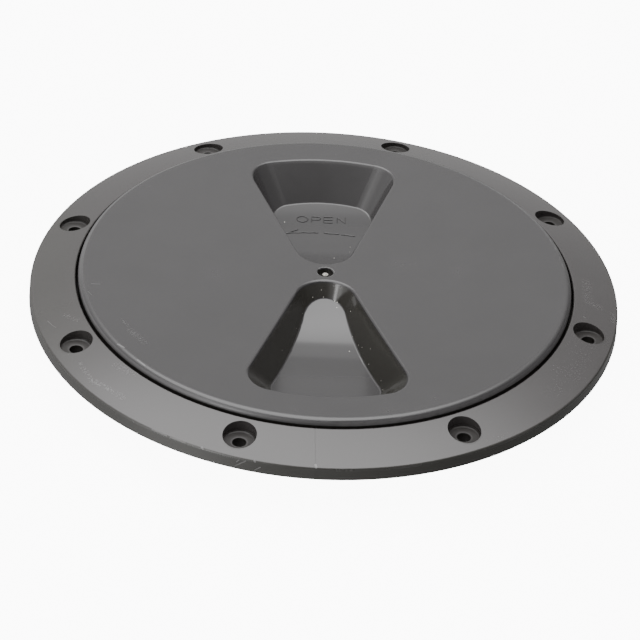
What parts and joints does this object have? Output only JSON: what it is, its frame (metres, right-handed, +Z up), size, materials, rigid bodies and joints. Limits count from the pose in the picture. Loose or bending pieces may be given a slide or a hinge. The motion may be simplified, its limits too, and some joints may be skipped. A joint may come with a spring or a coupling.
{
  "type": "deck inspection plate",
  "caption": "Round screw-in deck inspection plate: a flanged deck ring with sunk screw holes holds a threaded, sealed lid with wedge-shaped finger recesses.",
  "frame": {"origin": "centre of the flange's underside, where it lies on the deck, on the screw thread's axis", "axes": "+Z up out of the deck along the thread's axis; the lid's finger recesses lie near the Y axis, 5 degrees clockwise of it seen from above, with the lid screwed home; the deck screws stand at 22.5 degrees from +X and every 45 degrees from there"},
  "size_m": [0.1992, 0.1992, 0.0236],
  "materials": {
    "ring_plastic": "satin, as moulded",
    "lid_plastic": "satin, as moulded",
    "seal_rubber": "matt"
  },
  "bodies": {
    "ring": {"deck_ring": "ring_plastic"},
    "seal": {"lid_seal": "seal_rubber"},
    "lid": {"screw_lid": "lid_plastic"}
  },
  "joints": [
    {"name": "lid_rise", "type": "slide", "parent": "ring", "child": "seal", "axis": [0, 0, 1], "range_m": [0, 0.0201]},
    {"name": "lid_turn", "type": "hinge", "parent": "seal", "child": "lid", "pos_m": [0, 0, 0], "axis": [0, 0, 1], "range_deg": [0, 1800]}
  ],
  "couplings": [
    {"joint": "lid_rise", "follows": "lid_turn", "m_per_rad": 0.00063662}
  ]
}
